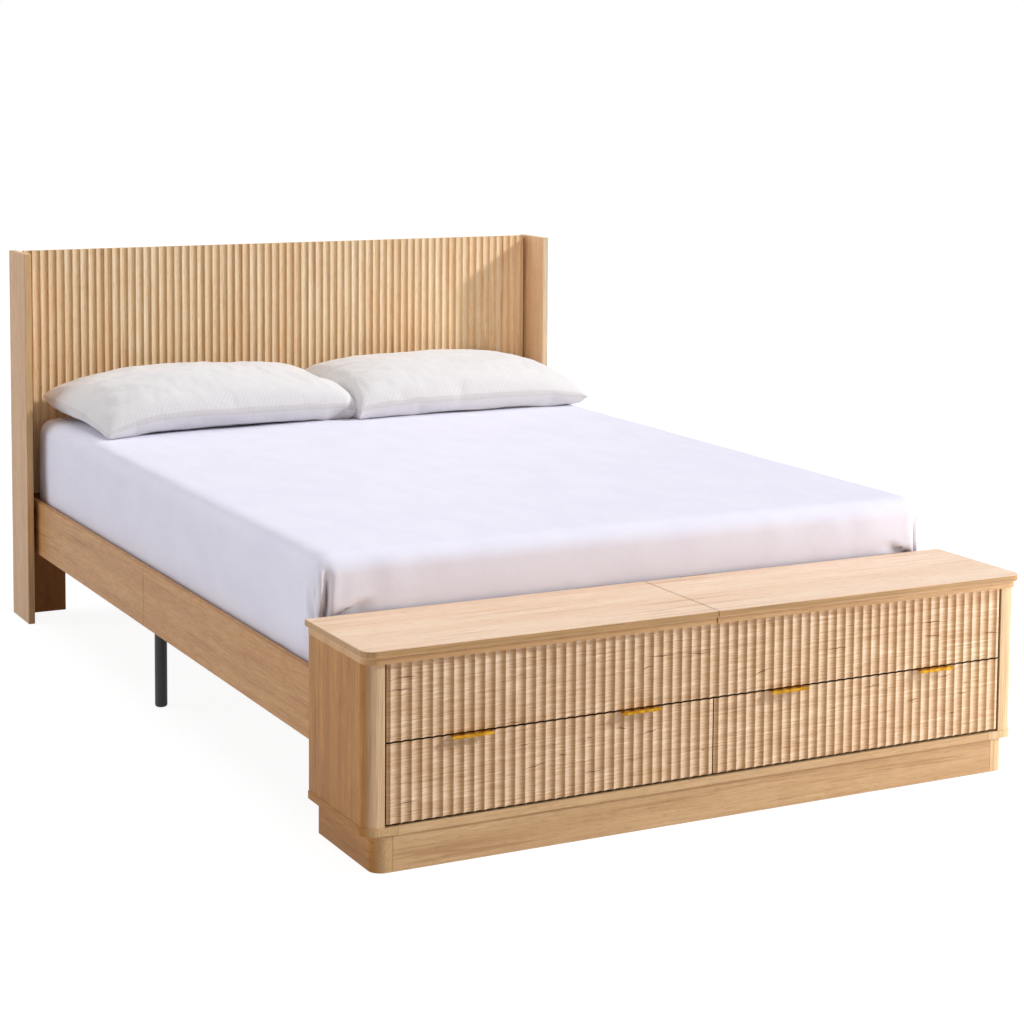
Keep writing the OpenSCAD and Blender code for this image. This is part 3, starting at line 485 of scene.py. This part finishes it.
def corner_folds(run, drop):
    """The sheet's slack at a foot corner: an upright pinch, a flap on the foot, and bunches on the side.
    Run goes from the corner along the foot, or backwards along the side. Drop goes down from the top.
    Gives how far the slack stands off the foam, and how much painted shade its creases get, from 0 to 1."""
    bend = run - PINCH_PLACE + 0.1 * max(drop - 0.06, 0)
    pinch = 0.008 * bell(bend - 0.014, 0.008) + 0.007 * bell(bend + 0.012, 0.006) - 0.016 * bell(bend, 0.0045)
    below = drop - FLAP_DROP - (FLAP_LENGTH - run) * 0.4
    flap = 0.008 * bell(below, 0.006) - 0.009 * ramp(below, 0.002, 0.008) * (1 - ramp(below, 0.02, 0.05))
    flap *= ramp(run, 0.015, 0.03) * (1 - ramp(run, 0.085, 0.11))
    bunch = BUNCH_DEPTH * math.sin(run * 420 + drop * 38)
    bunch *= ramp(-run, -0.004, 0.01) * (1 - ramp(-run, 0.035, 0.065))
    # How much painted shade the sheet gets in the pinch, under the flap and between the bunches.
    crease_shade_amount = bell(bend, 0.005) * ramp(drop, 0.03, 0.06)
    crease_shade_amount += bell(below - 0.006, 0.005) * ramp(run, 0.01, 0.02) * (1 - ramp(run, 0.07, 0.1))
    crease_shade_amount += ramp(-bunch, 0.003, 0.006) * ramp(drop, 0.07, 0.09) * 0.6
    return pinch * ramp(drop, 0.026, 0.045) + flap + bunch * ramp(drop, 0.05, 0.08), min(crease_shade_amount, 1.0)


def sheet_lift(place, out, inset, level):
    """How far the sheet stands off the foam, sideways and upwards, and how much painted shade its creases
    get.
    """
    x, y, z = place
    broad = noise.noise(Vector((x * 2.1, y * 1.7, 3.0))) * 0.0022
    fine = noise.noise(Vector((x * 9 + y * 5, y * 3 - x * 2, 7.0))) * 0.0011
    if level == 1 and inset > TOP_ROLL * 0.6:
        crown = SHEET_CROWN * (1 - (x / half_x) ** 2) * (1 - (y / half_y) ** 2)
        return 0.0, crown + broad + fine, 0.0
    along = y if abs(out.x) > abs(out.y) else x
    corner = max(0.0, 1 - math.hypot(half_x - abs(x), half_y - abs(y)) / CORNER_REACH)
    folds = noise.noise(Vector((along * 16, z * 3.5, 11.0))) * (0.0016 + CORNER_SLACK * corner ** 2)
    sag = SHEET_SAG * math.sin(math.pi * min(max(z / thick, 0), 1))
    crease_shade_amount = 0.0
    if y < 0:
        arc = MATTRESS_CORNER * math.pi / 4
        if abs(out.x * out.y) > 1e-6:
            run = MATTRESS_CORNER * (math.atan2(abs(out.y), abs(out.x)) - math.pi / 4)
        elif abs(out.y) > abs(out.x):
            run = arc + half_x - MATTRESS_CORNER - abs(x)
        else:
            run = -arc - half_y + MATTRESS_CORNER - abs(y)
        fold, crease_shade_amount = corner_folds(run, thick - z)
        folds += fold
    sideways = folds + sag
    if out.y < -0.5:
        # The foot side stays flat enough to clear the open lids
        sideways = min(sideways, FOLD_ROOM)
    return sideways, fine, crease_shade_amount


bm = bmesh.new()
columns = round(2 * half_x / MATTRESS_CELL)
rows = round(2 * half_y / MATTRESS_CELL)
bmesh.ops.create_grid(bm, x_segments=columns, y_segments=rows, size=1)
raised = bmesh.ops.extrude_face_region(bm, geom=bm.faces[:])["geom"]
bmesh.ops.translate(bm, verts=[v for v in raised if isinstance(v, bmesh.types.BMVert)], vec=(0, 0, 1))
upright = [e for e in bm.edges if abs(e.verts[0].co.z - e.verts[1].co.z) > 0.5]
bmesh.ops.subdivide_edges(bm, edges=upright, cuts=WALL_RINGS, use_grid_fill=True)
bmesh.ops.recalc_face_normals(bm, faces=bm.faces)
number_in_order(bm)
# Each point keeps how much painted shade its crease gets.
crease_shade_layer = bm.verts.layers.float.new("crease_shade")
for vert in bm.verts:
    level = vert.co.z
    level = 0 if level < 1e-4 else 1 if level > 1 - 1e-4 else level
    flat_x, flat_y = (math.copysign(1 - (1 - abs(part)) ** EDGE_CROWDING, part) for part in vert.co.xy)
    place, out, inset = mattress_point(flat_x * half_x, flat_y * half_y, level)
    sideways, upwards, vert[crease_shade_layer] = sheet_lift(place, out, inset, level)
    vert.co = place + out * sideways + Vector((0, 0, upwards))
bmesh.ops.translate(bm, verts=bm.verts, vec=(mattress_middle.x, mattress_middle.y, mattress_low.z))
for face in bm.faces:
    face.smooth = True
sheet_mesh = bpy.data.meshes.new("mattress_in_sheet")
bm.to_mesh(sheet_mesh)
bm.free()
mattress = bpy.data.objects.new("mattress_in_sheet", sheet_mesh)
bpy.context.scene.collection.objects.link(mattress)
finer = mattress.modifiers.new("finer", "SUBSURF")
finer.levels = finer.render_levels = 1

cotton = Finish("sheet_cotton")
warp, weft = (cotton.add("ShaderNodeTexWave", {"Vector": cotton.place(), "Scale": 300.0, "Distortion": 0.6},
                         bands_direction=way).outputs["Fac"] for way in "XY")
weave = cotton.math("ADD", warp, weft)
slanted = cotton.place((1.0, 0.45, 1.0), rotation=(0, 0, math.radians(24)))
rumple = cotton.noise(slanted, 14, detail=4, roughness=0.55)
relief = cotton.math("ADD", cotton.math("MULTIPLY", weave, 0.03), rumple)
cloth_tone = cotton.mix(cotton.range(rumple, 0.3, 0.7), colour(238, 237, 253), colour(241, 241, 255))
# Painted shade: the sheet turns a warm grey-brown deep in its corner creases.
crease_shade = cotton.add("ShaderNodeAttribute", attribute_name="crease_shade").outputs["Fac"]
crease_shade_amount = cotton.range(crease_shade, 0.3, 1.0, 0.0, 0.75)
cloth_tone = cotton.mix(crease_shade_amount, cloth_tone, colour(96, 74, 66))
mattress.data.materials.append(cotton.surface(
    Base_Color=cloth_tone, Roughness=0.92, Sheen_Weight=0.15, Specular_IOR_Level=0.2,
    Normal=cotton.bump(relief, 0.004, 0.25)))
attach(mattress, "frame")
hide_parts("mattress")


# Pillows
# Two cotton cases filled with down, sewn flat from two panels and swollen by their filling.
# They lie on the sheet against the headboard, the right one over the left one's end.
PILLOW_CELLS = (64, 42)
PILLOW_FLAT = (0.776, 0.472)
SEAM_HALF = 0.002
LUMPINESS = 0.14
CORNER_LIFT = 0.012
SEAM_RIPPLE = 0.0035
BED_GAP = 0.004
SETTLING_FRAMES = 20
SOFT_DEPTH = 0.05
BOARD_GAP = 0.003


def filled_case(name, crown, belly, seed, droop):
    """Shapes two panels sewn at their edge, then lets filling and weight settle them on a flat bed.
    Crown and belly are the panels' heights, and droop is how far the two near corners hang."""
    bm = bmesh.new()
    bmesh.ops.create_grid(bm, x_segments=PILLOW_CELLS[0], y_segments=PILLOW_CELLS[1], size=1)
    raised = bmesh.ops.extrude_face_region(bm, geom=bm.faces[:])["geom"]
    bmesh.ops.translate(bm, verts=[v for v in raised if isinstance(v, bmesh.types.BMVert)], vec=(0, 0, 1))
    bmesh.ops.recalc_face_normals(bm, faces=bm.faces)
    number_in_order(bm)
    seam = bm.verts.layers.float.new("seam")
    upper = bm.verts.layers.float.new("upper")
    for vert in bm.verts:
        x, y = vert.co.x, vert.co.y
        vert[seam] = float(max(abs(x), abs(y)) > 0.999)
        vert[upper] = float(vert.co.z > 0.5)
        fall = max((1 - abs(x) ** 3) * (1 - abs(y) ** 3), 0) ** 0.5
        lump = 1 + LUMPINESS * noise.noise(Vector((x * 1.3, y * 1.3, seed)))
        boxy = max((1 - abs(x) ** 8) * (1 - abs(y) ** 8), 0) ** 0.4
        height = SEAM_HALF + crown * fall * lump if vert.co.z > 0.5 else -SEAM_HALF - belly * boxy
        corner = CORNER_LIFT * x * x * y * y * (0.5 + 0.5 * y) - droop[x > 0] * x ** 4 * ((1 - y) / 2) ** 2
        corner += SEAM_RIPPLE * (1 - fall) * noise.noise(Vector((x * 9, y * 6, seed + vert.co.z)))
        vert.co.x = x * PILLOW_FLAT[0] / 2 * (0.98 + 0.02 * y * y)
        vert.co.y = y * PILLOW_FLAT[1] / 2 * (0.955 + 0.045 * x * x)
        vert.co.z = belly + BED_GAP + height + corner
    volume = bm.calc_volume()
    for face in bm.faces:
        face.smooth = True
    mesh = bpy.data.meshes.new(name)
    bm.to_mesh(mesh)
    bm.free()
    pillow = bpy.data.objects.new(name, mesh)
    bpy.context.scene.collection.objects.link(pillow)
    bed_mesh = bpy.data.meshes.new("rest")
    bm = bmesh.new()
    bmesh.ops.create_grid(bm, x_segments=1, y_segments=1, size=1.5)
    bm.to_mesh(bed_mesh)
    bm.free()
    rest = bpy.data.objects.new("rest", bed_mesh)
    bpy.context.scene.collection.objects.link(rest)
    rest.modifiers.new("collision", "COLLISION")
    rest.collision.thickness_outer = 0.003
    rest.collision.cloth_friction = 10
    cloth = pillow.modifiers.new("cloth", "CLOTH")
    cloth.settings.quality = 7
    cloth.settings.mass = 0.004
    cloth.settings.tension_stiffness = 15
    cloth.settings.compression_stiffness = 15
    cloth.settings.shear_stiffness = 5
    cloth.settings.bending_stiffness = 0.5
    cloth.settings.tension_damping = 8
    cloth.settings.compression_damping = 8
    cloth.settings.shear_damping = 8
    cloth.settings.shrink_min = -0.025
    cloth.settings.use_pressure = True
    cloth.settings.uniform_pressure_force = 0
    cloth.settings.use_pressure_volume = True
    cloth.settings.target_volume = volume
    cloth.settings.pressure_factor = 6
    cloth.settings.effector_weights.gravity = 0.35
    cloth.collision_settings.distance_min = BED_GAP
    cloth.collision_settings.collision_quality = 3
    cloth.point_cache.frame_start = 1
    cloth.point_cache.frame_end = SETTLING_FRAMES
    for step in range(1, SETTLING_FRAMES + 1):
        bpy.context.scene.frame_set(step)
    shaped = bpy.data.meshes.new_from_object(pillow.evaluated_get(bpy.context.evaluated_depsgraph_get()))
    pillow.modifiers.clear()
    pillow.data = shaped
    shaped.name = name
    bpy.context.scene.frame_set(1)
    bpy.data.objects.remove(rest)
    return pillow


def press(value, wall, side):
    """Flattens a soft piece against a wall, which stands on its high side (1) or its low side (-1)."""
    over = side * (value - wall) + SOFT_DEPTH
    return value if over <= 0 else wall - side * SOFT_DEPTH * math.exp(-over / SOFT_DEPTH)


def lay_pillow(pillow, place, turned, neighbour):
    """Turns a pillow, lifts its back, presses it to the board and its neighbour, and lays it on the sheet."""
    turn = Matrix.Rotation(turned, 4, "Z") @ Matrix.Rotation(math.radians(1), 4, "X")
    pillow.data.transform(Matrix.Translation(place) @ turn)
    board_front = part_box("headboard_fluted_board")[0][1] - BOARD_GAP
    for vert in pillow.data.vertices:
        vert.co.y = press(vert.co.y, board_front, 1)
        vert.co.x = press(vert.co.x, neighbour, 1 if place[0] < 0 else -1)
    lowest = min(vert.co.z for vert in pillow.data.vertices)
    pillow.data.transform(Matrix.Translation((0, 0, place[2] - lowest)))
    finer = pillow.modifiers.new("finer", "SUBSURF")
    finer.levels = finer.render_levels = 1


case = Finish("pillow_cotton")
slanted = case.place(rotation=(0, 0, math.radians(52)))
quilt = case.add("ShaderNodeTexWave", {"Vector": slanted, "Scale": 44.0, "Distortion": 1.6, "Detail": 1.0},
                 bands_direction="X").outputs["Fac"]
upper = case.add("ShaderNodeAttribute", attribute_name="upper").outputs["Fac"]
quilt = case.math("MULTIPLY", quilt, upper)
seam = case.add("ShaderNodeAttribute", attribute_name="seam").outputs["Fac"]
stitch = case.range(seam, 0.9, 1.0)
slub = case.noise(case.place(), 420, detail=3)
rumple = case.noise(case.place((1, 1, 1.6)), 26, detail=3, roughness=0.55, distortion=0.5)
relief = case.math("ADD", case.math("MULTIPLY", quilt, 0.2), case.math("MULTIPLY", slub, 0.15))
relief = case.math("ADD", relief, case.math("MULTIPLY", rumple, 1.6))
relief = case.math("SUBTRACT", relief, case.math("MULTIPLY", stitch, 0.8))
case_tone = case.mix(quilt, colour(232, 230, 231), colour(235, 234, 236))
case_tone = case.mix(case.math("MULTIPLY", stitch, 0.25), case_tone, colour(196, 186, 180))
case_material = case.surface(Base_Color=case_tone, Roughness=0.9, Sheen_Weight=0.2, Specular_IOR_Level=0.2,
                             Normal=case.bump(relief, 0.002, 0.5))

sheet_top = mattress_high.z - TOP_ROOM
for name, crown, belly, seed, droop, place, turned, neighbour in (
    ("pillow_left", 0.108, 0.046, 2.0, (0.044, 0.012), (-0.33, 0.926, sheet_top), math.radians(4.5), 0.046),
    ("pillow_right", 0.1, 0.05, 5.0, (0.02, 0.02), (0.362, 0.926, sheet_top), math.radians(1), 0.024),
):
    pillow = filled_case(name + "_case", crown, belly, seed, droop)
    lay_pillow(pillow, place, turned, neighbour)
    pillow.data.materials.clear()
    pillow.data.materials.append(case_material)
    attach(pillow, "frame")
    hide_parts(name)
